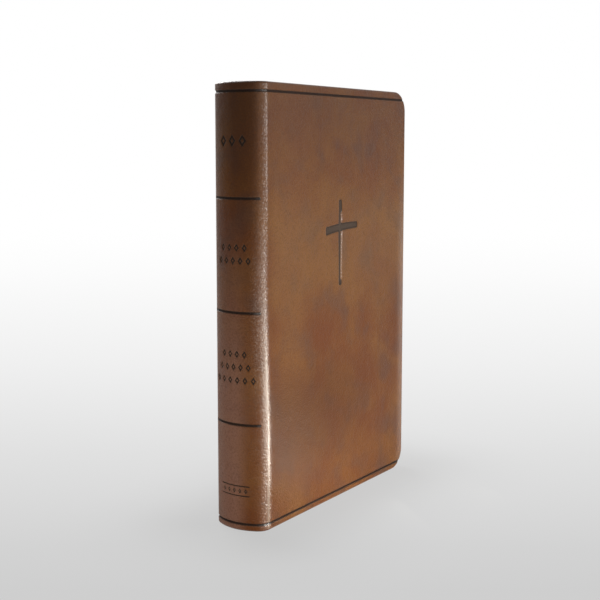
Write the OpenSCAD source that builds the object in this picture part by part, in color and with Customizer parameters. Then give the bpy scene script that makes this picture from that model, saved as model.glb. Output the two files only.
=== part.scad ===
// A personal-size bible in limp imitation leather, standing closed on its tail edge.
// X runs from the spine to the fore-edge, Y from the front cover to the back, Z from tail to head.

/* [Book] */
// Height of the covers from tail to head
cover_h = 216; // [170:1:260]
// Width from the crown of the spine to the fore-edge of the covers
book_w = 142; // [110:1:170]
// Thickness over both covers
book_t = 30; // [27:0.5:34]
// Radius of the covers' two fore-edge corners
corner_r = 11; // [11:0.5:16]

/* [Covering] */
// Thickness of the imitation leather
leather_t = 0.8; // [0.6:0.05:1.0]
// Thickness of the flexible board under the leather
board_t = 0.8; // [0.5:0.05:1.1]
// Width of leather turned in over the inside of a cover
turn_in = 10.5; // [6:0.5:10.9]
// Depth by which the tail fold is pressed flat where the book stands
tail_flat = 0.15; // [0.1:0.05:0.3]
// Thickness of the paste-down paper
pastedown_t = 0.2; // [0.1:0.05:0.3]
// Bare strip of turned-in leather left round a paste-down
pastedown_inset = 3.5; // [2:0.5:6]
// Distance of a paste-down from the bending line
pastedown_start = 1.75; // [1:0.25:4]
// Strip beside the spine that is left without board, so that the cover bends there
joint_w = 7; // [5:0.5:10]
// Space between glued layers
glue_gap = 0.05; // [0.02:0.01:0.08]

/* [Spine] */
// Outside radius of the rounded spine
spine_r = 23; // [21:0.5:26]
// Flat leather between the ridge of the spine and the bending line
ridge_flat = 0.7; // [0.5:0.05:0.8]
// Space between the turned-in spine leather and the lining of the pages
hollow_gap = 0.2; // [0.1:0.05:0.4]
// Thickness of the paper lining on the back of the pages
lining_t = 0.3; // [0.2:0.05:0.4]
// Thickness of the open-weave mull under the paper lining
mull_t = 0.4; // [0.3:0.05:0.5]
// Thickness of the sewing thread
thread_d = 0.5; // [0.4:0.05:0.6]
// Number of sewing stations along the spine
thread_rows = 6; // [4:1:8]
// Radius of the bead of a headband
band_r = 0.8; // [0.6:0.05:0.9]
// Depth of the headband's tape on the back of the pages
band_tape = 8; // [5:0.5:12]

/* [Tooling] */
// Width of a pressed rule
rule_w = 1.8; // [0.8:0.1:2.2]
// Depth of a pressed rule
rule_depth = 0.45; // [0.2:0.05:0.5]
// Distance of the head rule from the head edge
head_rule_inset = 4.4; // [3:0.1:8]
// Distance of the tail rule from the tail edge
tail_rule_inset = 3.3; // [2.5:0.1:8]
// Height of the middle one of the three spine rules
spine_rule_z = 107; // [90:0.5:120]
// Spacing of the three spine rules
spine_rule_step = 54.5; // [40:0.5:60]
// Distance from the end of a spine rule to the ridge
spine_rule_margin = 2.6; // [1:0.1:5]
// Height of the pressed cross
cross_h = 45; // [30:1:70]
// Span of the cross's arms
cross_w = 31; // [20:1:50]
// Width of the cross's upright
cross_stroke = 3.8; // [2:0.1:5]
// Width of the cross's arms
cross_arm_stroke = 4.6; // [2:0.1:6]
// Width of a stroke's thin end as a share of its full width
cross_taper = 0.78; // [0.5:0.01:1]
// Depth of the pressed cross
cross_depth = 0.4; // [0.2:0.05:0.5]
// Place of the cross's upright, from the middle of the book's width
cross_x = 2; // [-20:0.5:20]
// Height of the foot of the cross
cross_z = 113.5; // [80:0.5:130]
// Height of the arms above the foot of the cross
cross_arm_z = 30; // [20:0.5:36]
// Rise of the arms from the left end to the right
cross_rise = 2; // [0:0.1:3]
// Height by which the middle of the arms bows above the line between their ends
cross_bow = 0.6; // [0:0.1:1]
// Distance by which the middle of the arms lies to the right of the upright
cross_shift = 1.5; // [-3:0.1:3]

/* [Pages] */
// Width by which the covers overhang the pages
square_w = 4; // [3:0.25:6]
// Radius of the pages' fore-edge corners
page_corner_r = 8; // [5:0.5:12]
// Thickness of a flyleaf
flyleaf_t = 0.25; // [0.15:0.05:0.35]
// Space between neighbouring leaves
leaf_gap = 0.08; // [0.06:0.01:0.12]
// Running clearance round the bending line of a leaf
run_clear = 0.1; // [0.06:0.01:0.15]

/* [Opening] */
// Opening angle of a flyleaf when its cover is laid back flat
flyleaf_open = 132; // [126:1:138]
// Opening angle of the outermost signature when its cover is laid back flat
fan_open = 120; // [60:5:120]
// Gap between the leather of the spine and of a cover at the bending line
split_gap = 0.3; // [0.2:0.05:0.4]
// Distance of the bending line outside the leather's face
hinge_clear = 0.15; // [0.1:0.05:0.3]

/* [Hidden] */
$fn = 96;
signature_count = 20;
half_count = signature_count / 2;

// Covered board: leather, board, turned-in leather
edge_t = 2 * leather_t + board_t;
edge_r = edge_t / 2;
half_t = book_t / 2;
spine_x = -book_w / 2;
fore_x = book_w / 2;
blank_h = cover_h + tail_flat;
mid_z = cover_h - blank_h / 2;

// Plan of the spine: one arc that meets the flat of each cover at a ridge
arc_x = spine_x + spine_r;
ridge_x = arc_x - sqrt(pow(spine_r, 2) - pow(half_t, 2));
ridge_half = asin(half_t / spine_r);

// Bending line of a cover, just outside the face of the leather
hinge_x = ridge_x + ridge_flat;
hinge_y = half_t + hinge_clear;
cover_x = hinge_x + split_gap / 2;
board_x = hinge_x + joint_w;
cover_in = half_t - edge_t - pastedown_t;

// Layers on the back of the pages, from the hollow inwards
lining_r = spine_r - edge_t - hollow_gap;
mull_r = lining_r - lining_t - glue_gap;
thread_r = mull_r - mull_t - glue_gap;
fold_r = thread_r - thread_d - glue_gap;

// Half angles of the strips on the arc, which end between the turned-in leather of the two covers
strip_y = half_t - edge_t - glue_gap;
inlay_half = asin(strip_y / (spine_r - leather_t));
lining_half = asin(strip_y / lining_r);

// Pages: flyleaf, ten signatures, ten signatures, flyleaf
page_z = square_w;
page_h = cover_h - 2 * square_w;
flyleaf_y = cover_in - leaf_gap - flyleaf_t / 2;
block_half = cover_in - 2 * leaf_gap - flyleaf_t;
pitch = block_half / half_count;
signature_t = pitch - leaf_gap;
page_w = fore_x - square_w - fold_x(block_half - pitch / 2);

// Pressed rule: radius of the round tool, and its axis outside the leather's face
rule_r = (pow(rule_w / 2, 2) + pow(rule_depth, 2)) / (2 * rule_depth);
rule_out = rule_r - rule_depth;
edge_rules = [tail_rule_inset, cover_h - head_rule_inset];
spine_rules = [for (k = [-1 : 1]) spine_rule_z + k * spine_rule_step];
spine_rule_half = ridge_half - spine_rule_margin / spine_r * 180 / PI;

// Back of the folds at a distance y from the middle of the thickness
function fold_x(y) = arc_x - sqrt(pow(fold_r, 2) - pow(y, 2));

// Rank of a signature counted from its own cover, and its middle plane
function rank(i) = i < half_count ? i : signature_count - 1 - i;
function signature_y(i) = (i - half_count + 0.5) * pitch;
function rank_y(k) = block_half - (k + 0.5) * pitch;

// Opening angle of a signature: an even fan from the outermost to the middle
function rank_open(k) = fan_open * (1 - k / half_count);

// Step between two bending lines that lets the inner leaf clear the root of the outer one
function hinge_step(angle, thickness, apart) =
    max(0, (thickness + run_clear - apart * cos(angle)) / sin(angle));

// Room in front of a fixed fold that lets its own leaf lean back over it
function root_room(angle, thickness) =
    angle > 90 ? hinge_step(angle, thickness / 2, thickness / 2) : thickness / 2 + run_clear;

// A flyleaf bends where it can pass in front of the opened cover
flyleaf_drop = 2 * hinge_y - cover_in - flyleaf_y + flyleaf_t + run_clear;
flyleaf_hinge = hinge_x + flyleaf_drop * tan(flyleaf_open - 90);

// Bending line of the signature of rank k
function leaf_hinge(k) = k == 0
    ? flyleaf_hinge + hinge_step(rank_open(0), (flyleaf_t + signature_t) / 2, flyleaf_y - rank_y(0))
    : leaf_hinge(k - 1) + hinge_step(rank_open(k), signature_t, pitch);

function signature_name(i) = str("signature_", i < 9 ? "0" : "", i + 1);

leather_colour = [0.47, 0.32, 0.22];
board_colour = [0.62, 0.58, 0.50];
paper_colour = [0.93, 0.89, 0.80];
endpaper_colour = [0.86, 0.80, 0.68];
lining_colour = [0.72, 0.57, 0.38];
mull_colour = [0.88, 0.87, 0.82];
thread_colour = [0.95, 0.94, 0.90];
band_colour = [0.55, 0.38, 0.20];

// Half of the leather fold round a board edge
module fold_ring() {
    difference() {
        circle(edge_r);
        circle(edge_r - leather_t);
        translate([-2 * edge_r, -edge_r]) square([2 * edge_r, edge_t]);
    }
}

// Section through a covered edge: x runs out to the edge, y from the outer face inwards
module wrapped_edge(reach) {
    flap = turn_in - edge_r;
    square([reach, leather_t]);
    translate([reach, edge_r]) fold_ring();
    translate([reach - flap, edge_t - leather_t]) square([flap, leather_t]);
}

// Section from tail to head: x from the outer face inwards, y up, centred on the height
module wall_section() {
    for (side = [0, 1])
        mirror([0, side]) mirror([1, -1]) wrapped_edge(blank_h / 2 - edge_r);
}

// Carries a section with x inwards and y up along a straight run of the front face
module run_along_x(from_x, to_x) {
    translate([from_x, -half_t, 0]) rotate([90, 0, 90]) linear_extrude(to_x - from_x) children();
}

// Carries such a section round the arc of the spine
module turn_on_arc(half_angle) {
    translate([arc_x, 0, 0]) rotate([0, 0, 180 - half_angle])
        rotate_extrude(angle = 2 * half_angle) translate([spine_r, 0]) mirror([1, 0]) children();
}

// Round nose of the pressing tool for a rule at height z
module rule_nose(z) {
    translate([-rule_out, z]) circle(rule_r, $fn = 32);
}

// Everything below the surface that the book stands on
module below_floor() {
    translate([spine_x - 1, -half_t - 1, -1]) cube([book_w + 2, book_t + 2, 1]);
}

// Outline of a sheet with its two fore-edge corners rounded
module sheet_outline(w, h, r) {
    square([w - r, h]);
    translate([0, r]) square([w, h - 2 * r]);
    for (z = [r, h - r]) translate([w - r, z]) circle(r);
}

// A sheet standing on edge, with its outer face at the front
module sheet(x, y, z, w, h, r, t) {
    translate([x, y + t, z]) rotate([90, 0, 0]) linear_extrude(t) sheet_outline(w, h, r);
}

// Leather of one cover, turned in at head, tail and fore-edge
module cover_leather() {
    reach = corner_r - edge_r;
    side_h = blank_h / 2 - corner_r;
    difference() {
        translate([0, 0, mid_z]) {
            run_along_x(cover_x, fore_x - corner_r) wall_section();
            translate([fore_x - corner_r, -half_t, 0]) {
                translate([0, 0, -side_h]) linear_extrude(2 * side_h) wrapped_edge(reach);
                for (side = [0, 1]) mirror([0, 0, side]) translate([0, 0, side_h])
                    mirror([0, 1, -1]) rotate_extrude(angle = 90) wrapped_edge(reach);
            }
        }
        for (z = edge_rules) run_along_x(hinge_x, fore_x + 1) rule_nose(z);
        below_floor();
    }
}

// The cross as two brush strokes: an upright that thins to both ends, and bowed arms that thin to the right
module cross_outline() {
    half = cross_stroke / 2;
    thin = half * cross_taper;
    arm = cross_arm_stroke / 2;
    arm_thin = arm * cross_taper;
    middle = (arm + arm_thin) / 2;
    polygon([
        [-thin, 0],
        [thin, 0],
        [half, cross_arm_z],
        [thin, cross_h],
        [-thin, cross_h],
        [-half, cross_arm_z]
    ]);
    translate([cross_shift, cross_arm_z]) polygon([
        [-cross_w / 2, -arm - cross_rise / 2],
        [0, cross_bow - middle],
        [cross_w / 2, -arm_thin + cross_rise / 2],
        [cross_w / 2, arm_thin + cross_rise / 2],
        [0, cross_bow + middle],
        [-cross_w / 2, arm - cross_rise / 2]
    ]);
}

module cross_press() {
    translate([cross_x, -half_t + cross_depth, cross_z])
        rotate([90, 0, 0]) linear_extrude(cross_depth + 1) cross_outline();
}

// Flexible board inside the fold of the leather
module cover_board() {
    margin = edge_r + glue_gap;
    sheet(
        board_x, -half_t + leather_t + glue_gap, margin,
        fore_x - margin - board_x, cover_h - 2 * margin, corner_r - margin, board_t - 2 * glue_gap
    );
}

// Card that brings the middle of the inside level with the turned-in leather
module cover_infill() {
    margin = turn_in + glue_gap;
    sheet(
        board_x, -half_t + edge_t - leather_t, margin,
        fore_x - margin - board_x, cover_h - 2 * margin, corner_r - margin, leather_t
    );
}

// Paper pasted over the inside of a cover
module pastedown() {
    start_x = hinge_x + pastedown_start;
    sheet(
        start_x, -cover_in - pastedown_t, pastedown_inset,
        fore_x - pastedown_inset - start_x, cover_h - 2 * pastedown_inset,
        corner_r - pastedown_inset, pastedown_t
    );
}

// A leaf or a stack of leaves with a round root on its bending line
module turning_leaf(root_x, y, to_x, t) {
    sheet(root_x, y - t / 2, page_z, to_x - root_x, page_h, page_corner_r, t);
    translate([root_x, y, page_z]) rotate([0, 0, 90]) rotate_extrude(angle = 180) square([t / 2, page_h]);
}

module flyleaf() {
    turning_leaf(flyleaf_hinge, -flyleaf_y, fore_x - square_w, flyleaf_t);
}

module front_cover_leather() {
    color(leather_colour) difference() {
        cover_leather();
        cross_press();
    }
}

module front_cover_board() {
    color(board_colour) cover_board();
}

module front_cover_infill() {
    color(board_colour) cover_infill();
}

module front_pastedown() {
    color(endpaper_colour) pastedown();
}

module front_flyleaf() {
    color(endpaper_colour) flyleaf();
}

module back_cover_leather() {
    color(leather_colour) mirror([0, 1, 0]) cover_leather();
}

module back_cover_board() {
    color(board_colour) mirror([0, 1, 0]) cover_board();
}

module back_cover_infill() {
    color(board_colour) mirror([0, 1, 0]) cover_infill();
}

module back_pastedown() {
    color(endpaper_colour) mirror([0, 1, 0]) pastedown();
}

module back_flyleaf() {
    color(endpaper_colour) mirror([0, 1, 0]) flyleaf();
}

// Leather of the spine, turned in at head and tail and pared where it meets the covers
module spine_leather() {
    outside_x = spine_x - 1;
    color(leather_colour) intersection() {
        difference() {
            turn_on_arc(90) translate([0, mid_z]) wall_section();
            for (z = edge_rules) turn_on_arc(90) rule_nose(z);
            for (z = spine_rules) turn_on_arc(spine_rule_half) rule_nose(z);
        }
        translate([outside_x, -half_t, 0])
            cube([hinge_x - split_gap / 2 - outside_x, book_t, cover_h + 1]);
    }
}

// Card strip that stiffens the spine leather between its turn-ins
module spine_inlay() {
    margin = edge_r + glue_gap;
    color(board_colour) turn_on_arc(inlay_half)
        translate([leather_t + glue_gap, margin])
            square([board_t - 2 * glue_gap, cover_h - 2 * margin]);
}

// Paper glued over the mull
module spine_lining() {
    color(lining_colour) turn_on_arc(lining_half)
        translate([spine_r - lining_r, page_z]) square([lining_t, page_h]);
}

// Open-weave cloth glued over the sewing
module spine_mull() {
    color(mull_colour) turn_on_arc(lining_half)
        translate([spine_r - mull_r, page_z]) square([mull_t, page_h]);
}

// Rows of thread that tie each signature to the next, between the headbands
module sewing_thread() {
    row_half = asin(rank_y(0) / thread_r);
    first_z = page_z + band_tape + thread_d;
    row_step = (page_h - 2 * (band_tape + thread_d)) / (thread_rows - 1);
    color(thread_colour) for (row = [0 : thread_rows - 1])
        turn_on_arc(row_half)
            translate([spine_r - thread_r + thread_d / 2, first_z + row * row_step])
                circle(d = thread_d, $fn = 24);
}

// Beaded band at one end of the pages' back: a bead on the folds and a tape behind them
module end_band() {
    bead_z = page_z + page_h + band_r + leaf_gap;
    tape_t = thread_d - glue_gap;
    tape_z = page_z + page_h - band_tape;
    color(band_colour) turn_on_arc(lining_half) union() {
        translate([spine_r - thread_r, tape_z]) square([tape_t, bead_z - tape_z]);
        translate([spine_r - thread_r + band_r, bead_z]) circle(band_r, $fn = 32);
    }
}

module headband() {
    end_band();
}

module tailband() {
    translate([0, 0, cover_h]) mirror([0, 0, 1]) end_band();
}

// Folded backs of the signatures, held fast by the sewing and the glue
module sewn_folds() {
    nose = signature_t / 2;
    color(paper_colour) for (i = [0 : signature_count - 1]) {
        y = signature_y(i);
        back_x = fold_x(abs(y) + nose) + nose;
        front_x = leaf_hinge(rank(i)) - root_room(rank_open(rank(i)), signature_t);
        translate([back_x, y - nose, page_z]) cube([front_x - back_x, signature_t, page_h]);
        translate([back_x, y, page_z]) rotate([0, 0, 90]) rotate_extrude(angle = 180) square([nose, page_h]);
    }
}

// Inner margins of the endpapers, tipped on to the outermost folds
module endpaper_hinges() {
    start_x = fold_x(rank_y(0)) + signature_t;
    end_x = flyleaf_hinge - root_room(flyleaf_open, flyleaf_t);
    color(endpaper_colour) for (side = [0, 1]) mirror([0, side, 0])
        translate([start_x, -flyleaf_y - flyleaf_t / 2, page_z]) cube([end_x - start_x, flyleaf_t, page_h]);
}

// Leaves of one signature, outside the sewn back
module signature(i) {
    y = signature_y(i);
    color(paper_colour) turning_leaf(leaf_hinge(rank(i)), y, fold_x(y) + page_w, signature_t);
}

front_cover_leather();
front_cover_board();
front_cover_infill();
front_pastedown();
front_flyleaf();
back_cover_leather();
back_cover_board();
back_cover_infill();
back_pastedown();
back_flyleaf();
spine_leather();
spine_inlay();
spine_lining();
spine_mull();
sewing_thread();
headband();
tailband();
sewn_folds();
endpaper_hinges();
for (i = [0 : signature_count - 1]) signature(i);
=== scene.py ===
import math
import random

import bpy
import numpy as np
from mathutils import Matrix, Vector


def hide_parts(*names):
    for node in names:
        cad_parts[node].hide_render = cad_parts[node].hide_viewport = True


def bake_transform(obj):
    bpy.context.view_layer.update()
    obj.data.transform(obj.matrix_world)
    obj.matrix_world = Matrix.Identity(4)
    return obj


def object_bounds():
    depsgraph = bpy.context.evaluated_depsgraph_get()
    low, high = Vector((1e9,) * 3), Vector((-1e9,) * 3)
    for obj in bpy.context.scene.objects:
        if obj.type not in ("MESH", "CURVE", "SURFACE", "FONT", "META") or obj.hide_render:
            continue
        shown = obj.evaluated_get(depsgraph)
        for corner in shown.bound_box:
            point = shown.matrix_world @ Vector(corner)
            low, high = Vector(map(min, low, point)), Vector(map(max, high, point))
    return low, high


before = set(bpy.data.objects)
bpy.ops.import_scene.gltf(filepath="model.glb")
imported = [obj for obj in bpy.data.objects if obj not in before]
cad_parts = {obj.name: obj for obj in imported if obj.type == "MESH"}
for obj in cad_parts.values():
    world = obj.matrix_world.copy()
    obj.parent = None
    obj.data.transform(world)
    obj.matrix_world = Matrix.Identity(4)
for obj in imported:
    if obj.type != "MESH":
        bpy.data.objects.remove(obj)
cad_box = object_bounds()

# Sizes of the book in millimetres: three from the frame, and the others as in the CAD model
MM = 0.001
BOOK_W, BOOK_T, COVER_H = (round((high - low) / MM, 1) for low, high in zip(*cad_box))
CORNER_R = 11.0
LEATHER_T = 0.8
BOARD_T = 0.8
TURN_IN = 10.5
TAIL_FLAT = 0.15
PASTEDOWN_T = 0.2
GLUE_GAP = 0.05
SPINE_R = 23.0
RIDGE_FLAT = 0.7
HINGE_CLEAR = 0.15
HOLLOW_GAP = 0.2
LINING_T = 0.3
MULL_T = 0.4
THREAD_D = 0.5
SQUARE_W = 4.0
PAGE_CORNER_R = 8.0
FLYLEAF_T = 0.25
LEAF_GAP = 0.08
RUN_CLEAR = 0.1
FLYLEAF_OPEN = 132.0
FAN_OPEN = 120.0
SIGNATURES = 20

# Covers and spine
HALF_T = BOOK_T / 2
SPINE_X = -BOOK_W / 2
FORE_X = BOOK_W / 2
EDGE_T = 2 * LEATHER_T + BOARD_T
EDGE_R = EDGE_T / 2
ARC_X = SPINE_X + SPINE_R
HINGE_X = ARC_X - math.sqrt(SPINE_R**2 - HALF_T**2) + RIDGE_FLAT
HINGE_Y = HALF_T + HINGE_CLEAR
COVER_IN = HALF_T - EDGE_T - PASTEDOWN_T

# Pages: flyleaf, ten signatures, ten signatures, flyleaf
FOLD_R = SPINE_R - EDGE_T - HOLLOW_GAP - LINING_T - MULL_T - THREAD_D - 3 * GLUE_GAP
PAGE_Z = SQUARE_W
PAGE_TOP = COVER_H - SQUARE_W
HALF_COUNT = SIGNATURES // 2
FLYLEAF_Y = COVER_IN - LEAF_GAP - FLYLEAF_T / 2
BLOCK_HALF = COVER_IN - 2 * LEAF_GAP - FLYLEAF_T
PITCH = BLOCK_HALF / HALF_COUNT
SIGNATURE_T = PITCH - LEAF_GAP
FLYLEAF_REACH = 2 * HINGE_Y - COVER_IN - FLYLEAF_Y + FLYLEAF_T + RUN_CLEAR
FLYLEAF_HINGE = HINGE_X + FLYLEAF_REACH * math.tan(math.radians(FLYLEAF_OPEN - 90))


def fold_x(y):
    """Back of the folds at a distance y from the middle of the thickness."""
    return ARC_X - math.sqrt(FOLD_R**2 - y**2)


def rank(i):
    """Place of a signature, counted from its own cover."""
    return i if i < HALF_COUNT else SIGNATURES - 1 - i


def rank_y(k):
    """Distance of the signatures of rank k from the middle of the thickness."""
    return BLOCK_HALF - (k + 0.5) * PITCH


def signature_y(i):
    """Middle of one signature across the thickness."""
    return (i - HALF_COUNT + 0.5) * PITCH


def hinge_step(angle, thickness, apart):
    """Distance between the bending lines of two leaves that open by an angle from each other."""
    a = math.radians(angle)
    return max(0.0, (thickness + RUN_CLEAR - apart * math.cos(a)) / math.sin(a))


def leaf_hinge(k):
    """Bending line of the signatures of rank k."""
    angle = FAN_OPEN * (1 - k / HALF_COUNT)
    if k == 0:
        return FLYLEAF_HINGE + hinge_step(angle, (FLYLEAF_T + SIGNATURE_T) / 2, FLYLEAF_Y - rank_y(0))
    return leaf_hinge(k - 1) + hinge_step(angle, SIGNATURE_T, PITCH)


# Width of a page, from the back of its fold to the fore-edge
PAGE_W = FORE_X - SQUARE_W - fold_x(rank_y(0))


# Node materials


class Nodes:
    """A material with its node tree, and short ways to add nodes to it."""

    def __init__(self, name):
        self.material = bpy.data.materials.new(name)
        self.material.use_nodes = True
        self.tree = self.material.node_tree
        self.shader = self.tree.nodes["Principled BSDF"]

    def add(self, kind, inputs=None, **settings):
        node = self.tree.nodes.new(kind)
        for key, value in settings.items():
            setattr(node, key, value)
        for key, value in (inputs or {}).items():
            self.put(node.inputs[key], value)
        return node

    def put(self, socket, value):
        if isinstance(value, bpy.types.NodeSocket):
            self.tree.links.new(value, socket)
        else:
            socket.default_value = value

    def math(self, operation, a, b=0.0, c=0.0, clamp=False):
        node = self.add("ShaderNodeMath", {0: a, 1: b, 2: c}, operation=operation, use_clamp=clamp)
        return node.outputs[0]

    def step(self, value, low, high):
        """Smooth step from 0 at low to 1 at high."""
        node = self.add(
            "ShaderNodeMapRange",
            {"Value": value, "From Min": low, "From Max": high},
            interpolation_type="SMOOTHSTEP",
        )
        return node.outputs["Result"]

    def band(self, value, low, high, soft):
        """One between low and high, with soft ends."""
        rise = self.step(value, low - soft, low + soft)
        fall = self.step(value, high + soft, high - soft)
        return self.math("MULTIPLY", rise, fall)

    def mix(self, factor, a, b):
        node = self.add("ShaderNodeMix", data_type="RGBA")
        self.put(node.inputs["Factor"], factor)
        self.put(node.inputs["A"], a)
        self.put(node.inputs["B"], b)
        return node.outputs["Result"]

    def tint(self, colour, zone, share, shade):
        """The colour, taken towards a shade by a share of the zone's value."""
        return self.mix(self.math("MULTIPLY", zone, share), colour, (*shade, 1))

    def noise(self, vector, scale, detail=3.0, rough=0.55, distort=0.0):
        node = self.add(
            "ShaderNodeTexNoise",
            {"Vector": vector, "Scale": scale, "Detail": detail, "Roughness": rough, "Distortion": distort},
        )
        return node.outputs["Fac"]

    def attribute(self, name, output):
        return self.add("ShaderNodeAttribute", attribute_name=name).outputs[output]

    def place(self):
        return self.add("ShaderNodeTexCoord").outputs["Object"]

    def place_in_mm(self):
        return self.stretch(self.place(), 1 / MM, 1 / MM, 1 / MM)

    def split(self, vector):
        return self.add("ShaderNodeSeparateXYZ", {0: vector}).outputs

    def join(self, x, y, z):
        return self.add("ShaderNodeCombineXYZ", {0: x, 1: y, 2: z}).outputs[0]

    def stretch(self, vector, x, y, z):
        return self.add("ShaderNodeMapping", {"Vector": vector, "Scale": (x, y, z)}).outputs[0]

    def vector(self, operation, a, b=(0, 0, 0)):
        node = self.add("ShaderNodeVectorMath", {0: a, 1: b}, operation=operation)
        return node.outputs["Value" if operation in ("DOT_PRODUCT", "LENGTH") else "Vector"]

    def pebbles(self, vector, scale):
        node = self.add("ShaderNodeTexVoronoi", {"Vector": vector, "Scale": scale}, feature="SMOOTH_F1")
        return node.outputs["Distance"]

    def bump(self, height, distance, strength=1.0, normal=None):
        node = self.add("ShaderNodeBump", {"Height": height, "Distance": distance, "Strength": strength})
        if normal is not None:
            self.put(node.inputs["Normal"], normal)
        return node.outputs["Normal"]

    def seen(self):
        """One for the rays that show a background: camera, glossy and transmission."""
        path = self.add("ShaderNodeLightPath").outputs
        shown = self.math("ADD", path["Is Camera Ray"], path["Is Glossy Ray"])
        return self.math("ADD", shown, path["Is Transmission Ray"], clamp=True)

    def surface(self, **inputs):
        for key, value in inputs.items():
            self.put(self.shader.inputs[key.replace("_", " ")], value)
        return self.material


def broad_tones_and_painted_light(m, colour, flat):
    """Painted shade, a painted floor reflection and paler zones on the leather, by the distance along the
    plan from mid-spine and the height.
    """
    along, up = m.split(flat)[:2]
    beside_ridge = m.band(along, 24.0, 52.0, 12.0)
    colour = m.tint(colour, beside_ridge, 0.28, (0.27, 0.125, 0.048))
    on_cover = m.step(along, 16.0, 26.0)
    paler_middle = m.math("MULTIPLY", on_cover, m.band(up, 108.0, 160.0, 24.0))
    colour = m.tint(colour, paler_middle, 0.30, (0.32, 0.170, 0.068))
    # Painted shade low on the cover, towards the spine
    low_down = m.math("MULTIPLY", m.step(along, 150.0, 70.0), m.band(up, 24.0, 72.0, 18.0))
    low_down = m.math("MULTIPLY", on_cover, low_down)
    colour = m.tint(colour, low_down, 0.62, (0.092, 0.030, 0.006))
    # Painted shade at the head of the cover and the spine
    at_head = m.step(up, 160.0, 206.0)
    colour = m.tint(colour, at_head, 0.38, (0.100, 0.044, 0.025))
    # Painted reflection of the floor, greying the lower spine
    painted_floor_reflection = m.math("MULTIPLY", m.band(along, -12.0, 4.5, 4.5), m.step(up, 175.0, 60.0))
    colour = m.tint(colour, painted_floor_reflection, 0.62, (0.33, 0.18, 0.14))
    # Painted shade high on the spine, on its side towards the cover
    painted_spine_head_shade = m.math("MULTIPLY", m.band(along, -1.0, 13.0, 3.0), m.step(up, 130.0, 185.0))
    return m.tint(colour, painted_spine_head_shade, 0.50, (0.070, 0.022, 0.008))


def leather_material():
    """Mottled brown imitation leather with a fine pebble grain, dyed dark where it is pressed."""
    m = Nodes("leather")
    flat = m.attribute("flat", "Vector")
    dye = m.attribute("dye", "Fac")
    wear = m.attribute("wear", "Fac")
    clouds = m.noise(flat, 0.038, 3.0, 0.5, 0.4)
    patches = m.noise(m.stretch(flat, 1.0, 0.8, 1.0), 0.065, 2.0, 0.5, 0.3)
    rub = m.noise(m.stretch(flat, 1.0, 0.35, 1.0), 0.3, 3.0, 0.55)
    colour = m.mix(m.step(clouds, 0.28, 0.72), (0.163, 0.049, 0.013, 1), (0.213, 0.086, 0.022, 1))
    colour = m.tint(colour, m.step(patches, 0.46, 0.74), 0.75, (0.124, 0.058, 0.036))
    colour = m.tint(colour, m.step(rub, 0.45, 0.80), 0.20, (0.24, 0.110, 0.046))
    colour = broad_tones_and_painted_light(m, colour, flat)
    cells = m.pebbles(flat, 1.5)
    pores = m.noise(flat, 2.6, 3.0, 0.6)
    pits = m.math("ADD", m.step(pores, 0.54, 0.72), m.step(cells, 0.35, 0.70), clamp=True)
    colour = m.tint(colour, pits, 0.28, (0.09, 0.036, 0.017))
    # Paler where worn, which is partly a painted highlight on the ridge and the cross's lip and a painted
    # sheen along the edges
    colour = m.tint(colour, wear, 0.45, (0.34, 0.18, 0.095))
    colour = m.tint(colour, m.step(wear, 0.72, 0.98), 0.6, (0.46, 0.33, 0.22))
    colour = m.mix(m.step(dye, 0.25, 0.60), colour, (0.078, 0.054, 0.040, 1))
    colour = m.mix(m.step(dye, 0.60, 1.0), colour, (0.024, 0.012, 0.008, 1))
    rough = m.math("MULTIPLY_ADD", clouds, 0.12, 0.26)
    rough = m.math("ADD", rough, m.math("MULTIPLY", dye, 0.35))
    rough = m.math("SUBTRACT", rough, m.math("MULTIPLY", wear, 0.14))
    swell = m.bump(m.noise(flat, 0.11, 2.0), 0.0006, 0.5)
    grain = m.bump(cells, 0.00030, 0.5, swell)
    fine = m.bump(pores, 0.00016, 0.5, grain)
    # Wear polishes the tops of coarser pebbles first, and at last wears them flat
    pebbles = m.pebbles(flat, 1.1)
    raised = m.math("SUBTRACT", m.step(pebbles, 0.62, 0.22), 0.5)
    unworn = m.math("MULTIPLY", m.math("SUBTRACT", 1.15, wear), 0.65)
    polish = m.math("MULTIPLY", wear, m.math("MULTIPLY_ADD", raised, unworn, 1.0), clamp=True)
    rounding = m.math("MULTIPLY_ADD", m.step(wear, 0.62, 1.0), -0.42, 0.6)
    polished = m.bump(pebbles, 0.00045, rounding, swell)
    return m.surface(
        Base_Color=colour,
        Roughness=rough,
        Normal=fine,
        Specular_IOR_Level=0.10,
        Coat_Weight=polish,
        Coat_Roughness=0.25,
        Coat_IOR=2.3,
        Coat_Normal=polished,
    )


# Lines on the pages, in millimetres from the back of the fold and up from the book's foot
LINE_PITCH = 2.5
TEXT_COLUMNS = ((15.0, 62.0), (66.0, 113.0))
TEXT_ROWS = (16.0, 194.0)
INK = 0.62


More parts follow.
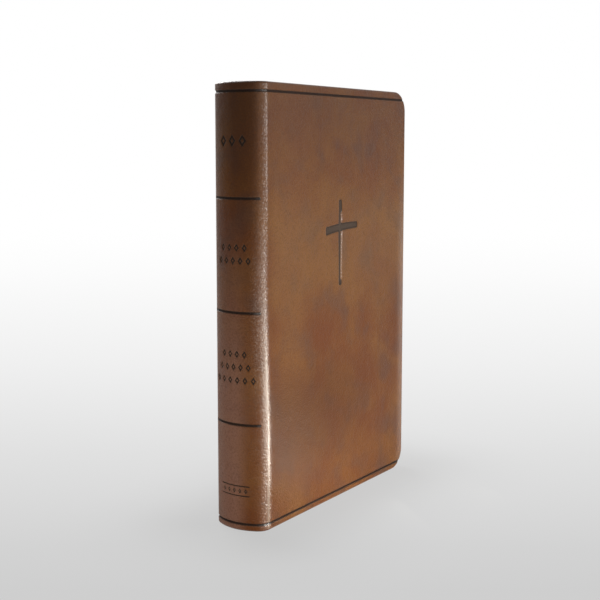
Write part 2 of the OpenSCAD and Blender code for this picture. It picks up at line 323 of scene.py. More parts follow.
def page_material():
    """Thin cream paper with two columns of broken grey lines that stand for print."""
    m = Nodes("page_paper")
    rest = m.attribute("flat", "Vector")
    x, y, z = m.split(rest)[:3]
    line = m.math("DIVIDE", z, LINE_PITCH)
    row = m.math("FLOOR", line)
    inside = m.band(m.math("FRACT", line), 0.3, 0.68, 0.09)
    words = m.noise(m.join(m.math("MULTIPLY", x, 0.75), m.math("MULTIPLY", row, 3.7), y), 1.0, 1.0)
    ink = m.math("MULTIPLY", inside, m.step(words, 0.36, 0.42))
    strokes = m.noise(m.join(m.math("MULTIPLY", x, 3.4), m.math("MULTIPLY", z, 1.6), y), 1.0, 2.0)
    ink = m.math("MULTIPLY", ink, m.step(strokes, 0.34, 0.52))
    left, right = (m.band(x, start, end, 0.3) for start, end in TEXT_COLUMNS)
    ink = m.math("MULTIPLY", ink, m.math("ADD", left, right, clamp=True))
    ink = m.math("MULTIPLY", ink, m.band(z, *TEXT_ROWS, 0.3))
    ink = m.math("MULTIPLY", ink, INK)
    fibre = m.noise(rest, 0.6, 4.0, 0.6)
    paper = m.mix(m.step(fibre, 0.35, 0.7), (0.80, 0.72, 0.56, 1), (0.86, 0.79, 0.64, 1))
    colour = m.mix(ink, paper, (0.16, 0.14, 0.13, 1))
    normal = m.bump(m.noise(rest, 3.0, 3.0), 0.00004, 0.4)
    return m.surface(Base_Color=colour, Roughness=0.78, Normal=normal, Specular_IOR_Level=0.25)


def gilt_material():
    """Gold on the page edges, thin enough for the paper to show along the leaves."""
    m = Nodes("gilt_edge")
    rest = m.attribute("flat", "Vector")
    leaves = m.noise(m.stretch(rest, 0.05, 9.0, 0.05), 1.0, 2.0)
    worn = m.noise(rest, 0.22, 4.0, 0.6)
    colour = m.mix(m.step(leaves, 0.35, 0.65), (0.52, 0.33, 0.10, 1), (0.80, 0.58, 0.24, 1))
    colour = m.tint(colour, m.step(worn, 0.60, 0.74), 0.5, (0.78, 0.66, 0.42))
    rough = m.math("MULTIPLY_ADD", worn, 0.25, 0.25)
    normal = m.bump(leaves, 0.00006, 0.5)
    return m.surface(Base_Color=colour, Roughness=rough, Normal=normal, Metallic=0.75)


def paper_material(name, dark, light, scale, use_flat=False):
    """Plain paper or card with a mottled fibre."""
    m = Nodes(name)
    place = m.attribute("flat", "Vector") if use_flat else m.place_in_mm()
    cloud = m.noise(place, scale, 4.0, 0.6)
    fibre = m.noise(m.stretch(place, 1.0, 1.0, 0.2), scale * 8, 3.0, 0.6)
    colour = m.mix(m.step(cloud, 0.3, 0.7), dark, light)
    colour = m.mix(m.math("MULTIPLY", m.step(fibre, 0.58, 0.75), 0.25), colour, dark)
    normal = m.bump(fibre, 0.00008, 0.4)
    return m.surface(Base_Color=colour, Roughness=0.82, Normal=normal, Specular_IOR_Level=0.25)


def mull_material():
    """Open-weave cotton cloth."""
    m = Nodes("mull")
    place = m.place_in_mm()
    y, z = m.split(place)[1:3]
    warp = m.math("SINE", m.math("MULTIPLY", y, 5.2))
    weft = m.math("SINE", m.math("MULTIPLY", z, 5.2))
    weave = m.step(m.math("MAXIMUM", warp, weft), 0.0, 0.9)
    slub = m.noise(place, 0.8, 3.0)
    colour = m.mix(weave, (0.42, 0.36, 0.26, 1), (0.78, 0.75, 0.66, 1))
    colour = m.tint(colour, slub, 0.3, (0.60, 0.56, 0.47))
    normal = m.bump(weave, 0.0002, 0.7)
    return m.surface(Base_Color=colour, Roughness=0.9, Normal=normal, Specular_IOR_Level=0.2)


def thread_material():
    """Waxed sewing thread with its twist."""
    m = Nodes("thread")
    place = m.place_in_mm()
    y, z = m.split(place)[1:3]
    twist = m.math("SINE", m.math("ADD", m.math("MULTIPLY", y, 9.0), m.math("MULTIPLY", z, 9.0)))
    colour = m.mix(m.step(twist, -0.6, 0.8), (0.62, 0.57, 0.46, 1), (0.88, 0.85, 0.76, 1))
    normal = m.bump(twist, 0.0001, 0.6)
    return m.surface(Base_Color=colour, Roughness=0.6, Normal=normal)


def band_material():
    """Woven headband in turns of brown and cream silk."""
    m = Nodes("band")
    place = m.place_in_mm()
    x, y = m.split(place)[:2]
    angle = m.math("ARCTAN2", y, m.math("SUBTRACT", ARC_X, x))
    turn = m.math("FRACT", m.math("MULTIPLY", angle, 9.5))
    silk = m.math("SINE", m.math("MULTIPLY", angle, 190.0))
    stripe = m.band(turn, 0.25, 0.75, 0.05)
    colour = m.mix(stripe, (0.80, 0.72, 0.54, 1), (0.17, 0.065, 0.022, 1))
    colour = m.tint(colour, m.step(silk, 0.0, 1.0), 0.25, (0.05, 0.02, 0.01))
    normal = m.bump(silk, 0.00012, 0.6)
    return m.surface(Base_Color=colour, Roughness=0.5, Normal=normal, Sheen_Weight=0.3)


LEATHER = leather_material()
PAGE = page_material()
GILT = gilt_material()
ENDPAPER_LOOK = ((0.60, 0.49, 0.33, 1), (0.70, 0.60, 0.43, 1), 0.12)
ENDPAPER = paper_material("endpaper", *ENDPAPER_LOOK)
ENDPAPER_FLAT = paper_material("endpaper_leaf", *ENDPAPER_LOOK, use_flat=True)
BOARD = paper_material("board", (0.27, 0.22, 0.15, 1), (0.36, 0.31, 0.23, 1), 0.35)
LINING = paper_material("lining", (0.36, 0.21, 0.09, 1), (0.50, 0.31, 0.14, 1), 0.4)
MULL = mull_material()
THREAD = thread_material()
BAND = band_material()


# Meshes


def make_piece(name, verts, faces, materials, slots=None, smooth_shaded=True, **attributes):
    """A mesh object from points in millimetres, with its point attributes."""
    mesh = bpy.data.meshes.new(name)
    mesh.from_pydata((np.asarray(verts, float) * MM).tolist(), [], faces)
    for material in materials:
        mesh.materials.append(material)
    if slots is not None:
        mesh.polygons.foreach_set("material_index", np.asarray(slots, dtype=np.int32))
    mesh.polygons.foreach_set("use_smooth", np.full(len(mesh.polygons), smooth_shaded))
    for key, values in attributes.items():
        values = np.asarray(values, dtype=np.float32)
        if values.ndim == 2:
            mesh.attributes.new(key, "FLOAT_VECTOR", "POINT").data.foreach_set("vector", values.ravel())
        else:
            mesh.attributes.new(key, "FLOAT", "POINT").data.foreach_set("value", values)
    mesh.update()
    piece = bpy.data.objects.new(name, mesh)
    bpy.context.scene.collection.objects.link(piece)
    return piece


# The leather: one sheet from the middle of the spine over the ridge to the fore-edge,
# described flat by u along the plan, z up and depth below its outer face.

# Rounded ridge between spine and cover: radius, centre, and the angle where the spine's arc ends
RIDGE_R = 7.0
RIDGE_CY = HALF_T - RIDGE_R
RIDGE_CX = ARC_X - math.sqrt((SPINE_R - RIDGE_R) ** 2 - RIDGE_CY**2)
RIDGE_A = math.asin(RIDGE_CY / (SPINE_R - RIDGE_R))
# u at the end of the spine's arc, at the start of the flat cover and at the fore-edge
U_ARC = SPINE_R * RIDGE_A
U_FLAT = U_ARC + RIDGE_R * (math.pi / 2 - RIDGE_A)
U_END = U_FLAT + FORE_X - RIDGE_CX
Z_LOW = -TAIL_FLAT
Z_HIGH = COVER_H
INSET_R = CORNER_R - EDGE_R
TINY = 1e-6
# Signs of y on the two sides
FRONT, BACK = -1, 1


def plan(u, depth):
    """Points of the front half of the plan at a depth below the leather's outer face."""
    on_arc = np.minimum(u, U_ARC) / SPINE_R
    on_ridge = RIDGE_A + np.clip(u - U_ARC, 0, U_FLAT - U_ARC) / RIDGE_R
    a = np.where(u <= U_ARC, on_arc, on_ridge)
    r = np.where(u <= U_ARC, SPINE_R, RIDGE_R) - depth
    cx = np.where(u <= U_ARC, ARC_X, RIDGE_CX)
    cy = np.where(u <= U_ARC, 0.0, -RIDGE_CY)
    x = cx - r * np.cos(a) + np.maximum(u - U_FLAT, 0)
    y = cy - r * np.sin(a)
    return x, y


def smooth(t):
    """Smooth step from 0 at 0 to 1 at 1."""
    t = np.clip(t, 0, 1)
    return t * t * (3 - 2 * t)


def ramp(value, low, high):
    """Smooth step from 0 at low to 1 at high."""
    return smooth((value - low) / (high - low))


def bell(value, middle, width):
    """One in the middle, and less on both sides of it over a width."""
    return np.exp(-(((value - middle) / width) ** 2))


# Pressed rules and cross, as in the CAD model
RULE_W = 1.8
RULE_DEPTH = 0.45
TAIL_RULE_INSET = 3.3
HEAD_RULE_INSET = 4.4
SPINE_RULE_Z = 107.0
SPINE_RULE_STEP = 54.5
SPINE_RULE_MARGIN = 2.6
EDGE_RULES = (TAIL_RULE_INSET, COVER_H - HEAD_RULE_INSET)
SPINE_RULES = tuple(SPINE_RULE_Z + k * SPINE_RULE_STEP for k in (-1, 0, 1))
SPINE_RULE_END = SPINE_R * math.asin(HALF_T / SPINE_R) - SPINE_RULE_MARGIN
CROSS_X = 2.0
CROSS_Z = 113.5
CROSS_H = 45.0
CROSS_W = 31.0
CROSS_ARM_Z = 30.0
CROSS_RISE = 2.0
CROSS_BOW = 0.6
CROSS_SHIFT = 1.5
CROSS_TAPER = 0.78
CROSS_HALF = 3.8 / 2
ARM_HALF = 4.6 / 2
CROSS_THIN = CROSS_HALF * CROSS_TAPER
ARM_THIN = ARM_HALF * CROSS_TAPER
CROSS_DEPTH = 0.4
# Softness of the cross's sides: width of the wall, radius of a corner, and spread past the outline
CROSS_WALL = 0.55
CROSS_CORNER = 1.0
CROSS_SPREAD = 0.25
# Rows of pressed lozenges on the spine: height, places along the arc, half height of one
LOZENGES = (
    (188.4, (0.0, 5.6), 3.3),
    (138.1, (2.1, 6.3), 2.15),
    (131.9, (0.0, 4.1, 8.2), 2.15),
    (86.9, (2.0, 6.0), 2.1),
    (80.6, (0.0, 4.0, 8.0), 2.1),
    (74.2, (2.1, 6.3, 10.5), 2.1),
    (19.7, (0.0, 3.2, 6.4), 1.45),
)
LOZENGE_DEPTH = 0.35
LOZENGE_SLIMNESS = 0.68
# Share of a lozenge's depth by which its middle stands up
LOZENGE_EYE = 0.75
SHORT_RULES = (17.3, 22.1)
SHORT_RULE_END = 8.2
SHORT_RULE_W = 0.8
GROOVE_WALL = 0.62
# Dye, from 0 to 1: rules, lozenges, the floor of the cross, and the painted shade that its rim adds
RULE_DYE = 1.0
LOZENGE_DYE = 0.9
CROSS_DYE = 0.62
CROSS_RIM_SHADE = 0.26


def groove(distance, half_width):
    """Share of a groove's depth at a distance from its middle line."""
    return smooth((half_width - distance) / (GROOVE_WALL * half_width))


def rounded(a, b, r):
    """Distance into a shape from the distances to two of its sides, which meet in a radius r."""
    return r - np.hypot(np.maximum(r - a, 0), np.maximum(r - b, 0))


def cross_at(u, z):
    """Share of the cross's depth at u, z, the shade of its dye with painted shade along its walls, and its
    upright's undyed lip, a painted highlight.
    """
    x = u - U_FLAT + RIDGE_CX - CROSS_X
    up = z - CROSS_Z
    t = np.where(up < CROSS_ARM_Z, up / CROSS_ARM_Z, (CROSS_H - up) / (CROSS_H - CROSS_ARM_Z))
    stroke = CROSS_THIN + (CROSS_HALF - CROSS_THIN) * np.clip(t, 0, 1)
    upright = rounded(stroke - np.abs(x), np.minimum(up, CROSS_H - up), CROSS_CORNER)
    along = (x - CROSS_SHIFT) / CROSS_W
    arm = ARM_HALF + (ARM_THIN - ARM_HALF) * (along + 0.5)
    middle = CROSS_ARM_Z + CROSS_RISE * along + CROSS_BOW * (1 - (2 * along) ** 2)
    arms = rounded(arm - np.abs(up - middle), (0.5 - np.abs(along)) * CROSS_W, CROSS_CORNER)
    inside = np.maximum(upright, arms) + CROSS_SPREAD
    share = smooth(inside / CROSS_WALL)
    # Painted shade along the walls of the cross
    rim = bell(inside, 0.75, 0.35)
    # Painted highlight on the right wall of the upright, where its dye is left out
    lit_lip = share * ramp(x / stroke, 0.15, 0.55) * ramp(arms, 0.0, -0.5)
    lit_lip *= ramp(up, 2, 4) * ramp(up, CROSS_H - 5, CROSS_H - 9)
    return share, (CROSS_DYE + CROSS_RIM_SHADE * rim) * (1 - lit_lip), lit_lip


def pressed(u, z, cross):
    """Depth of the pressed ornament at u, z, how dark its dye is, and the cross's undyed lip, a painted
    highlight.
    """
    depth, dye, lit_lip = np.zeros_like(u), np.zeros_like(u), np.zeros_like(u)

    def press(share, full_depth, shade):
        np.maximum(depth, share * full_depth, out=depth)
        np.maximum(dye, share * shade, out=dye)

    for rule_z in EDGE_RULES:
        press(groove(np.abs(z - rule_z), RULE_W / 2), RULE_DEPTH, RULE_DYE)
    for rule_z in SPINE_RULES:
        away = np.hypot(np.maximum(u - SPINE_RULE_END, 0), z - rule_z)
        press(groove(away, RULE_W / 2), RULE_DEPTH, RULE_DYE)
    for rule_z in SHORT_RULES:
        away = np.hypot(np.maximum(u - SHORT_RULE_END, 0), z - rule_z)
        press(groove(away, SHORT_RULE_W / 2), LOZENGE_DEPTH, LOZENGE_DYE)
    for row_z, places, half in LOZENGES:
        for place in places:
            inside = 1 - np.abs(u - place) / (LOZENGE_SLIMNESS * half) - np.abs(z - row_z) / half
            ring = ramp(inside, 0.0, 0.2) * (1 - LOZENGE_EYE * ramp(inside, 0.5, 0.75))
            press(ring, LOZENGE_DEPTH, LOZENGE_DYE)
    if cross:
        share, shade, lit_lip = cross_at(u, z)
        press(share, CROSS_DEPTH, shade)
    return depth, dye, lit_lip


def spaced(stops):
    """Values from (start, step) pairs and a last stop, each stretch divided evenly."""
    values = []
    for (start, step), (end, _) in zip(stops[:-1], stops[1:]):
        count = max(1, round((end - start) / step))
        values += [start + (end - start) * k / count for k in range(count)]
    return values + [stops[-1][0]]


# Spacing of the leather's points, and how far past a pressed shape the close rows go on
RULE_STEP, RULE_MARGIN = 0.17, 0.3
LOZENGE_STEP, LOZENGE_MARGIN = 0.23, 0.2
CROSS_STEP, CROSS_MARGIN = 0.46, 0.6
ROW_STEP = 2.0
# A narrow first column keeps the shading even where the two halves meet
FIRST_COLUMN = 0.06
SPINE_STEP = 0.25
RIDGE_STEP = 0.3
WORN_HIGHLIGHT_STEP = 0.4
COLUMN_STEP = 2.2
CORNER_STEPS = 16
ROLL_STEPS = 12
FLAP_STEPS = 3


def leather_rows(cross):
    """Heights of the leather's rows, close together across the pressed ornament."""
    rules = [(z, RULE_W) for z in EDGE_RULES + SPINE_RULES] + [(z, SHORT_RULE_W) for z in SHORT_RULES]
    fine = [(z - width / 2 - RULE_MARGIN, z + width / 2 + RULE_MARGIN, RULE_STEP) for z, width in rules]
    fine += [
        (z - half - LOZENGE_MARGIN, z + half + LOZENGE_MARGIN, LOZENGE_STEP) for z, _, half in LOZENGES
    ]
    if cross:
        fine.append((CROSS_Z - CROSS_MARGIN, CROSS_Z + CROSS_H + CROSS_MARGIN, CROSS_STEP))
    low, high = Z_LOW + EDGE_R, Z_HIGH - EDGE_R
    rows = [low]
    while rows[-1] < high - TINY:
        z = rows[-1]
        step = min([s for a, b, s in fine if a - TINY <= z < b] or [ROW_STEP])
        starts = [a for a, _, _ in fine if z + TINY < a < z + step]
        rows.append(min([z + step, high] + starts))
    return rows


def leather_columns(cross):
    """Places of the leather's columns along u, close together on the spine, the ridge and the cross."""
    stops = [(0.0, FIRST_COLUMN), (FIRST_COLUMN, SPINE_STEP), (U_ARC, RIDGE_STEP)]
    stops += [(U_FLAT, WORN_HIGHLIGHT_STEP), (U_FLAT + 5, COLUMN_STEP)]
    if cross:
        middle = U_FLAT - RIDGE_CX + CROSS_X + CROSS_SHIFT
        stops += [(middle - CROSS_W / 2 - 1.2, CROSS_STEP), (middle + CROSS_W / 2 + 1.6, COLUMN_STEP)]
    corner = U_END - CORNER_R
    stops += [(corner, COLUMN_STEP)]
    angles = [math.pi / 2 * k / CORNER_STEPS for k in range(1, CORNER_STEPS + 1)]
    return spaced(stops) + [corner + INSET_R * math.sin(angle) for angle in angles]


def corner_rise(u):
    """Height by which the rounded corner lifts the inset outline at u."""
    into = np.clip(u - (U_END - CORNER_R), 0, INSET_R)
    return INSET_R - np.sqrt(np.maximum(INSET_R**2 - into**2, 0))


def leather_grid(cross):
    """The sheet inside its rolled edge: u and z of its points, its faces, and its three open sides."""
    rows = leather_rows(cross)
    us, zs, index = [], [], []
    for u in leather_columns(cross):
        lift = float(corner_rise(u))
        low, high = Z_LOW + EDGE_R + lift, Z_HIGH - EDGE_R - lift
        column, last = [], None
        for z in rows:
            z = min(max(z, low), high)
            if last is None or z - last > TINY:
                us.append(u)
                zs.append(z)
                last = z
            column.append(len(us) - 1)
        index.append(column)
    faces = []
    for a, b in zip(index[:-1], index[1:]):
        for j in range(len(rows) - 1):
            corners = list(dict.fromkeys((a[j], b[j], b[j + 1], a[j + 1])))
            if len(corners) > 2:
                faces.append(corners)
    tail = [column[0] for column in index]
    fore = list(dict.fromkeys(index[-1]))[1:-1]
    head = [column[-1] for column in reversed(index)]
    return np.array(us), np.array(zs), faces, (tail, fore, head)


# Wear with painted highlight and sheen, from 0 to 1: more on the front's ridge than on the back's, and on
# the edges least at the head
RIDGE_WEAR_AND_HIGHLIGHT = {FRONT: 1.0, BACK: 0.3}
HIGH_RIDGE_WEAR_AND_HIGHLIGHT = 0.16
RIDGE_LINE_HIGHLIGHT = 0.22
EDGE_WEAR_AND_SHEEN = 0.6
HEAD_EDGE_WEAR_AND_SHEEN = 0.1
LIP_HIGHLIGHT = 0.36
# Line of most wear and painted highlight on the ridge: how far before the flat cover, how far it leans
# towards the spine higher up, and its width on the spine's side and on the cover's
WORN_HIGHLIGHT_INSET = 1.3
WORN_HIGHLIGHT_LEAN = 2.4
WORN_HIGHLIGHT_WIDTHS = (3.6, 1.8)


def leather_wear(u, z, side, lit_lip):
    """Wear with painted highlight and sheen: on the ridge, most low down, at the fore-edge and on the
    cross's lip.
    """
    from_line = u - (U_FLAT - WORN_HIGHLIGHT_INSET - WORN_HIGHLIGHT_LEAN * ramp(z, 45, 125))
    rubbed_highlight = bell(from_line, 0.0, np.where(from_line < 0, *WORN_HIGHLIGHT_WIDTHS))
    bare_highlight = bell(from_line, 0.6, 0.8)
    by_height = HIGH_RIDGE_WEAR_AND_HIGHLIGHT + (1 - HIGH_RIDGE_WEAR_AND_HIGHLIGHT) * ramp(z, 184, 64)
    wear = (0.8 * rubbed_highlight + 0.2 * bare_highlight) * by_height
    # A thin painted highlight line high on the ridge
    painted_highlight_line = bell(u, U_FLAT - 1.7, 0.6) * ramp(z, 110, 160)
    wear = np.maximum(wear, RIDGE_LINE_HIGHLIGHT * painted_highlight_line) * RIDGE_WEAR_AND_HIGHLIGHT[side]
    # Painted sheen along the fore-edge, with some wear
    fore_edge_sheen = ramp(u, U_END - CORNER_R, U_END) ** 1.5 * ramp(z, 185, 105)
    return np.maximum(np.maximum(wear, EDGE_WEAR_AND_SHEEN * fore_edge_sheen), LIP_HIGHLIGHT * lit_lip)


def edge_rings():
    """Rings of the rolled edge and the turn-in: step outwards, depth, share pressed and share of wear and
    painted sheen.
    """
    rings = []
    for k in range(1, ROLL_STEPS + 1):
        t = math.pi * k / ROLL_STEPS
        out, down = EDGE_R * math.sin(t), EDGE_R * (1 - math.cos(t))
        rings.append((out, down, max(0.0, math.cos(t)), math.sin(t)))
    flap = TURN_IN - EDGE_R
    rings += [(-flap * k / FLAP_STEPS, EDGE_T, 0.0, 0.0) for k in range(1, FLAP_STEPS + 1)]
    rings.append((-flap, EDGE_T - LEATHER_T, 0.0, 0.0))
    return rings


def leather_sheet(name, side, cross):
    """Half of the covering, with its edges rolled over and turned in."""
    us, zs, faces, (tail, fore, head) = leather_grid(cross)
    depth, dye, lit_lip = pressed(us, zs, cross)
    all_u, all_z, all_depth, all_dye = [us], [zs], [depth], [dye]
    all_wear = [leather_wear(us, zs, side, lit_lip)]
    rim = tail + fore + head
    rim_u, rim_z = us[rim], zs[rim]
    du = np.clip((rim_u - (U_END - CORNER_R)) / INSET_R, 0, 1)
    du[len(tail) : len(tail) + len(fore)] = 1.0
    dz = np.sqrt(np.maximum(1 - du**2, 0)) * np.where(rim_z < COVER_H / 2, -1, 1)
    # Paler rolled edges from wear and a painted sheen, least at the head
    rim_wear = EDGE_WEAR_AND_SHEEN + (HEAD_EDGE_WEAR_AND_SHEEN - EDGE_WEAR_AND_SHEEN) * ramp(rim_z, 170, 210)
    previous = rim
    for out, down, outer, edge in edge_rings():
        u, z = rim_u + du * out, rim_z + dz * out
        cut, ring_dye, _ = pressed(u, z, False)
        first = sum(len(part) for part in all_u)
        ring = list(range(first, first + len(rim)))
        all_u.append(u)
        all_z.append(np.maximum(z, 0.0))
        all_depth.append(down + cut * outer)
        all_dye.append(ring_dye * outer)
        all_wear.append(rim_wear * edge)
        for k in range(len(rim) - 1):
            faces.append([previous[k], ring[k], ring[k + 1], previous[k + 1]])
        previous = ring
    u, z, depth = np.concatenate(all_u), np.concatenate(all_z), np.concatenate(all_depth)
    x, y = plan(u, depth)
    if side == FRONT:
        faces = [face[::-1] for face in faces]
    else:
        y = -y
    return make_piece(
        name,
        np.stack([x, y, z], axis=1),
        faces,
        [LEATHER],
        flat=np.stack([u * -side, z, depth], axis=1),
        dye=np.concatenate(all_dye),
        wear=np.concatenate(all_wear),
    )


def bend_leather(piece):
    """Bakes a sheet's placement into its points."""
    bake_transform(piece)


leather_front = leather_sheet("leather_front", FRONT, True)
bend_leather(leather_front)
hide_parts("front_cover_leather", "spine_leather")
leather_back = leather_sheet("leather_back", BACK, False)
bend_leather(leather_back)
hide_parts("back_cover_leather")


# Leaves

dice = random.Random(7)
LEAVES = 9
# Share of a leaf's room that its paper fills
LEAF_SHARE = 0.84
FLYLEAF_SHARE = 0.8
# Columns of a leaf's points: width of the bend and steps across it, distance of the last column before
# it, places further out, steps round a corner, and the least width of a column beside a corner
BEND = 4.0
BEND_STEPS = 8
SIGNATURE_MARGIN = 0.6
FLYLEAF_MARGIN = 0.5
FAR_COLUMNS = (20.0, 60.0)
PAGE_CORNER_STEPS = 8
LEAST_COLUMN = 0.5
# Unevenness of the trimmed edges
TRIM_SLACK = 0.06
FORE_SLACK = (-0.07, 0.05)
PAPER_SLOT, GILT_SLOT = 0, 1


def bend_stations(start, root, margin):
    """Places along a leaf's width for its points, close together where it bends."""
    bends = [root + BEND * k / BEND_STEPS for k in range(BEND_STEPS + 1)]
    return [start, root - margin] + bends + [root + far for far in FAR_COLUMNS]


def leaf_mesh(parts, x_columns, y, thickness, fore, low, high, origin):
    """Adds one thin leaf, standing on edge, to the lists of a piece."""
    verts, faces, slots, flat = parts
    r = PAGE_CORNER_R
    columns = [(x, 0.0) for x in x_columns if x < fore - r - LEAST_COLUMN]
    for k in range(PAGE_CORNER_STEPS + 1):
        a = math.pi / 2 * k / PAGE_CORNER_STEPS
        columns.append((fore - r + r * math.sin(a), r * (1 - math.cos(a))))
    first = len(verts)
    for x, lift in columns:
        for side in (-0.5, 0.5):
            for z in (low + lift, high - lift):
                verts.append((x, y + side * thickness, z))
                flat.append((x - origin, y, z))
    for k in range(len(columns) - 1):
        a, b = first + 4 * k, first + 4 * k + 4
        faces.extend([[a, b, b + 1, a + 1], [a + 2, a + 3, b + 3, b + 2]])
        slots.extend([PAPER_SLOT, PAPER_SLOT])
        faces.extend([[a, a + 2, b + 2, b], [a + 1, b + 1, b + 3, a + 3]])
        slots.extend([GILT_SLOT, GILT_SLOT])
    end = first + 4 * (len(columns) - 1)
    faces.extend([[end, end + 2, end + 3, end + 1], [first, first + 1, first + 3, first + 2]])
    slots.extend([GILT_SLOT, PAPER_SLOT])


def signature_leaves(i):
    """The leaves of one signature, from the sewn fold to the fore-edge."""
    y = signature_y(i)
    root = leaf_hinge(rank(i))
    nose = SIGNATURE_T / 2
    back = fold_x(abs(y) + nose)
    fore = fold_x(y) + PAGE_W
    step = SIGNATURE_T / LEAVES
    parts = ([], [], [], [])
    for leaf in range(LEAVES):
        off = (leaf - (LEAVES - 1) / 2) * step
        start = back + nose - math.sqrt(nose**2 - off**2)
        leaf_mesh(
            parts,
            bend_stations(start, root, SIGNATURE_MARGIN),
            y + off,
            step * LEAF_SHARE,
            fore + dice.uniform(*FORE_SLACK),
            PAGE_Z + dice.uniform(0.0, TRIM_SLACK),
            PAGE_TOP - dice.uniform(0.0, TRIM_SLACK),
            back,
        )
    verts, faces, slots, flat = parts
    body = f"signature_{i + 1:02d}"
    piece = make_piece(body + "_leaves", verts, faces, [PAGE, GILT], slots, smooth_shaded=False, flat=flat)
    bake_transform(piece)
    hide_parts(body)
    return piece


signatures = [signature_leaves(i) for i in range(SIGNATURES)]
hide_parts("sewn_folds")


def free_endpaper(name, side, body):
    """A flyleaf with its tipped-on margin, as one sheet."""
    start = fold_x(rank_y(0)) + SIGNATURE_T
    stations = bend_stations(start, FLYLEAF_HINGE, FLYLEAF_MARGIN)
    thickness = FLYLEAF_T * FLYLEAF_SHARE
    fore = FORE_X - SQUARE_W
    parts = ([], [], [], [])
    leaf_mesh(parts, stations, side * FLYLEAF_Y, thickness, fore, PAGE_Z, PAGE_TOP, start)
    verts, faces, slots, flat = parts
    piece = make_piece(name, verts, faces, [ENDPAPER_FLAT, GILT], slots, smooth_shaded=False, flat=flat)
    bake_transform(piece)
    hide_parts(body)
    return piece


flyleaf_front = free_endpaper("flyleaf_front", FRONT, "front_flyleaf")
free_endpaper("flyleaf_back", BACK, "back_flyleaf")
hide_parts("endpaper_hinges")


# Folded strip of endpaper: gaps to the paste-down and the flyleaf, place and bulge of its fold from
# the hinge, how far it lies on the paste-down, and how much shorter it is than a page at either end
JOINT_OUTER_GAP = 0.015
JOINT_INNER_GAP = 0.012
JOINT_FOLD = 0.9
JOINT_BULGE = 0.35
JOINT_LAP = 8.0
JOINT_TRIM = 0.02
JOINT_STEPS = 16


def endpaper_joint(name, side):
    """Strip of endpaper that folds from the paste-down round to the flyleaf's margin."""
    outer = COVER_IN - JOINT_OUTER_GAP
    inner = FLYLEAF_Y + FLYLEAF_T / 2 + JOINT_INNER_GAP
    middle, half = (outer + inner) / 2, (outer - inner) / 2
    fold = HINGE_X + JOINT_FOLD
    path = [(HINGE_X + JOINT_LAP, outer), (HINGE_X + JOINT_LAP / 2, outer), (fold + 0.5, outer)]
    for k in range(JOINT_STEPS + 1):
        a = math.pi * k / JOINT_STEPS
        path.append((fold - JOINT_BULGE * math.sin(a), middle + half * math.cos(a)))
    path += [(fold + 0.8, inner), (FLYLEAF_HINGE - 0.8, inner)]
    ends = (PAGE_Z + JOINT_TRIM, PAGE_TOP - JOINT_TRIM)
    verts = [(x, side * y, z) for x, y in path for z in ends]
    faces = [[2 * k, 2 * k + 2, 2 * k + 3, 2 * k + 1] for k in range(len(path) - 1)]
    piece = make_piece(name, verts, faces, [ENDPAPER_FLAT], flat=verts)
    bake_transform(piece)


endpaper_joint("endpaper_joint_front", FRONT)
endpaper_joint("endpaper_joint_back", BACK)

# CAD nodes that stay, with their own materials
for node, material in (
    ("front_cover_board", BOARD),
    ("back_cover_board", BOARD),
    ("front_cover_infill", BOARD),
    ("back_cover_infill", BOARD),
    ("spine_inlay", BOARD),
    ("front_pastedown", ENDPAPER),
    ("back_pastedown", ENDPAPER),
    ("spine_lining", LINING),
    ("spine_mull", MULL),
    ("sewing_thread", THREAD),
    ("headband", BAND),
    ("tailband", BAND),
):
    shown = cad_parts[node]
    shown.data.materials.clear()
    shown.data.materials.append(material)

# Camera, at the photograph's viewing angle
CAMERA = Vector((-0.47726, -0.31319, 0.18544))
HEADING = math.radians(34.045)
PITCH_DOWN = math.radians(6.465)
across = Vector((math.cos(HEADING), math.sin(HEADING), 0.0))
ahead = across * math.cos(PITCH_DOWN) - Vector((0, 0, math.sin(PITCH_DOWN)))
camera_data = bpy.data.cameras.new("camera")
camera_data.sensor_fit = "HORIZONTAL"
camera_data.sensor_width = 36.0
camera_data.lens = 65.06
camera_data.shift_y = -0.05
camera_data.clip_start = 0.01
camera_data.dof.use_dof = False
camera = bpy.data.objects.new("camera", camera_data)
camera.location = CAMERA
camera.rotation_euler = ahead.to_track_quat("-Z", "Y").to_euler()
bpy.context.scene.collection.objects.link(camera)
bpy.context.scene.camera = camera


def area_light(name, place, aim, size_x, size_y, power, colour=(1, 1, 1)):
    """A rectangular light that is turned to a point and that the camera doesn't see."""
    data = bpy.data.lights.new(name, "AREA")
    data.shape = "RECTANGLE"
    data.size, data.size_y = size_x, size_y
    data.energy = power
    data.color = colour
    lamp = bpy.data.objects.new(name, data)
    lamp.location = place
    lamp.rotation_euler = (Vector(aim) - Vector(place)).to_track_quat("-Z", "Y").to_euler()
    lamp.visible_camera = False
    bpy.context.scene.collection.objects.link(lamp)


area_light("key_light", (0.429, -1.063, 0.30), (0.0, 0.0, 0.10), 0.50, 0.60, 7.3, (1.0, 0.97, 0.93))
area_light("back_light", (0.40, 0.85, 0.80), (0.0, 0.0, 0.10), 0.70, 0.60, 12.0)
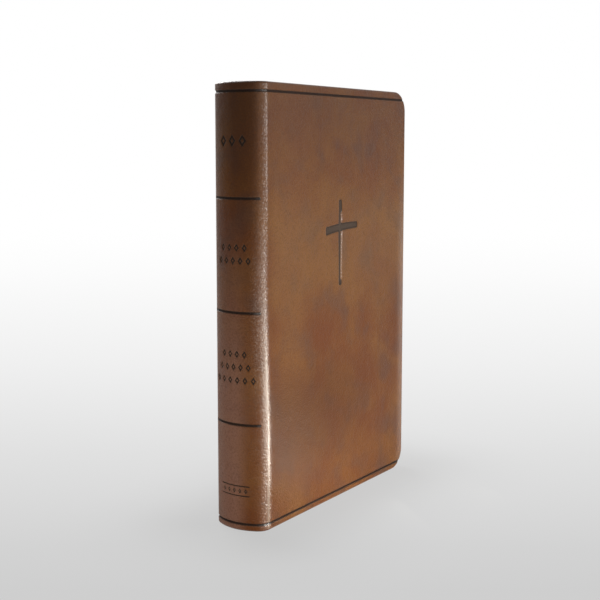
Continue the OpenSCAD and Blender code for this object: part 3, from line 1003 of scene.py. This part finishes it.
# Low strips that stand on the floor round the ridge: turn from the spine's side towards the
# cover's, distance, width, height and radiance
RIDGE = Vector((-0.066, -0.013, 0.0))
STRIP_AIM = RIDGE + Vector((0, 0, 0.04))
STRIP_LIFT = 0.003
STRIP_COLOUR = (1.0, 0.93, 0.81)
for name, turn, away, width, height, radiance in (
    ("strip_front_close", 139, 0.085, 0.05, 0.008, 8.0),
    ("strip_front_near", 139, 0.14, 0.06, 0.012, 16.0),
    ("strip_front_middle", 112, 0.22, 0.11, 0.030, 6.0),
    ("strip_front_far", 84, 0.42, 0.22, 0.050, 5.0),
    ("strip_corner_near", 88, 0.14, 0.08, 0.030, 2.6),
    ("strip_corner_far", 62, 0.35, 0.18, 0.050, 2.4),
    ("strip_spine", 5, 0.17, 0.15, 0.050, 4.8),
):
    angle = math.radians(turn)
    spot = RIDGE + Vector((-away * math.cos(angle), -away * math.sin(angle), height / 2 + STRIP_LIFT))
    power = math.pi * width * height * radiance
    area_light(name, spot, STRIP_AIM, width, height, power, STRIP_COLOUR)

# Studio: seen as white all round, and lit from behind the book and overhead
WHITE, OVERHEAD, DIM = 1.0, 0.10, 0.03
world = bpy.data.worlds.new("studio")
bpy.context.scene.world = world
world.use_nodes = True


class WorldNodes(Nodes):
    """The same short ways to add nodes, for the world."""

    def __init__(self, world):
        self.tree = world.node_tree


w = WorldNodes(world)
toward = w.add("ShaderNodeTexCoord").outputs["Generated"]
facing = w.vector("DOT_PRODUCT", toward, across)
behind = w.math("MULTIPLY", w.step(facing, 0.90, 0.955), WHITE - DIM)
overhead = w.math("MULTIPLY", w.step(w.split(toward)[2], 0.25, 0.75), OVERHEAD - DIM)
background = w.tree.nodes["Background"]
background.inputs["Color"].default_value = (1, 1, 1, 1)
lit = w.math("ADD", w.math("MAXIMUM", behind, overhead), DIM)
w.put(background.inputs["Strength"], w.math("MAXIMUM", lit, w.seen()))


# Floor, in metres: where it starts in the picture, and its greys by nearness, from far to near
FLOOR_START = 0.43
FLOOR_GREYS = (
    (0.176, 1.0),
    (0.273, 0.966),
    (0.47, 0.868),
    (0.67, 0.747),
    (0.88, 0.648),
    (0.98, 0.62),
)
# Shadow on it: the book's foot, and the reach and strength of the shadow's wide and near parts
FOOT_X, FOOT_Y = 0.070, 0.015
WIDE_REACH, WIDE_STRENGTH = (0.085, 0.03), 0.05
NEAR_REACH, NEAR_STRENGTH = (0.05, 0.0), 0.14


def floor_material():
    """Pale floor that runs from light grey, near the photograph's camera, to white."""
    m = Nodes("floor")
    place = m.place()
    x, y = m.split(place)[:2]
    along = m.vector("DOT_PRODUCT", m.vector("SUBTRACT", place, CAMERA), across)
    nearness = m.math("DIVIDE", FLOOR_START, m.math("MAXIMUM", along, 0.30), clamp=True)
    greys = m.add("ShaderNodeValToRGB", {"Fac": nearness})
    elements = greys.color_ramp.elements
    while len(elements) < len(FLOOR_GREYS):
        elements.new(0.5)
    for element, (position, grey) in zip(elements, FLOOR_GREYS):
        element.position = position
        element.color = (grey, grey, grey, 1)
    m.surface(Base_Color=(0.35, 0.35, 0.35, 1), Roughness=0.9, Specular_IOR_Level=0.1)
    away = m.vector("LENGTH", place)
    shade = m.mix(m.step(away, 0.8, 2.5), greys.outputs["Color"], (1, 1, 1, 1))
    glow = m.add("ShaderNodeEmission", {"Color": shade, "Strength": 1.0})
    # Near the foot the lit floor takes a share of the glow's place, so that the shadow shows
    beside = m.math("MAXIMUM", m.math("SUBTRACT", m.math("ABSOLUTE", x), FOOT_X), 0.0)
    before = m.math("MAXIMUM", m.math("SUBTRACT", m.math("ABSOLUTE", y), FOOT_Y), 0.0)
    apart = m.vector("LENGTH", m.join(beside, before, 0.0))
    wide = m.math("MULTIPLY", m.step(apart, *WIDE_REACH), WIDE_STRENGTH)
    shadow = m.math("MULTIPLY_ADD", m.step(apart, *NEAR_REACH), NEAR_STRENGTH, wide)
    share = m.math("MULTIPLY", m.seen(), m.math("SUBTRACT", 1.0, shadow))
    mixed = m.add("ShaderNodeMixShader", {0: share, 1: m.shader.outputs[0], 2: glow.outputs[0]})
    m.put(m.tree.nodes["Material Output"].inputs["Surface"], mixed.outputs[0])
    return m.material


FLOOR_HALF = 20000.0
floor = make_piece(
    "floor",
    [(x * FLOOR_HALF, y * FLOOR_HALF, 0) for x, y in ((-1, -1), (1, -1), (1, 1), (-1, 1))],
    [[0, 1, 2, 3]],
    [floor_material()],
)

bpy.context.scene.view_settings.view_transform = "Standard"
